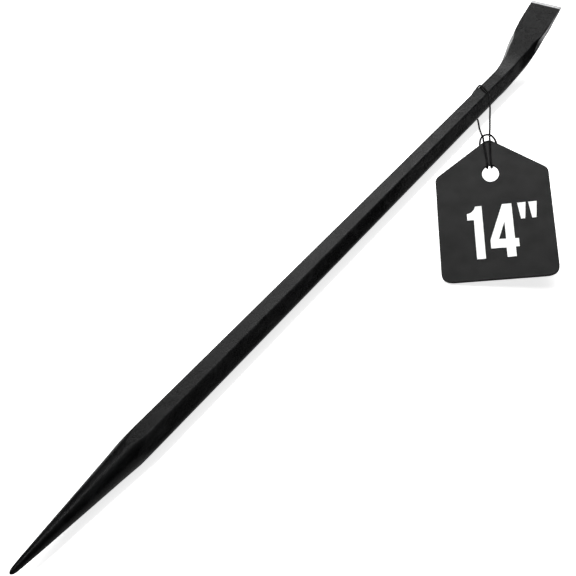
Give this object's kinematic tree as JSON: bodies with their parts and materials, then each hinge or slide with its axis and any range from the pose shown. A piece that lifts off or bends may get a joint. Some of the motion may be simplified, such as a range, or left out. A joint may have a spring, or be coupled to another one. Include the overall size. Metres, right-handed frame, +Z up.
{
  "type": "line-up pry bar",
  "caption": "Short hexagonal line-up pry bar with a blunt tapered point, a bent flat chisel end, and a size tag hanging on a knotted cord loop.",
  "frame": {"origin": "middle of the bar's footprint, on the surface it lies on", "axes": "+X along the bar from the point to the chisel end, +Z up; the blade curves up and the tag lies on the -Y side"},
  "size_m": [0.3556, 0.0843, 0.0257],
  "materials": {
    "black_oxide_steel": "black oxide over forging scale, edges worn",
    "waxed_cord": "waxed black cord",
    "tag_card": "dark satin tag stock",
    "white_print": "white print"
  },
  "bodies": {
    "bar": {"forged_bar": "black_oxide_steel"},
    "cord_loop": {"cord_over_shaft": "waxed_cord", "cord_under_shaft": "waxed_cord", "cord_knot": "waxed_cord", "cord_strand_right": "waxed_cord", "cord_strand_left": "waxed_cord"},
    "tag": {"hang_tag": "tag_card", "cord_hitch": "waxed_cord", "cord_leg_right": "waxed_cord", "cord_leg_left": "waxed_cord", "numeral_one": "white_print", "numeral_four": "white_print", "inch_mark_left": "white_print", "inch_mark_right": "white_print"}
  },
  "joints": [
    {"name": "cord_slide", "type": "slide", "parent": "bar", "child": "cord_loop", "axis": [-1, 0, -0.0051], "range_m": [0, 0.15]},
    {"name": "tag_fold", "type": "hinge", "parent": "cord_loop", "child": "tag", "pos_m": [0.0695, -0.02071, 0.01546], "axis": [0.4648, -0.8685, 0.1721], "range_deg": [-60, 0]}
  ]
}
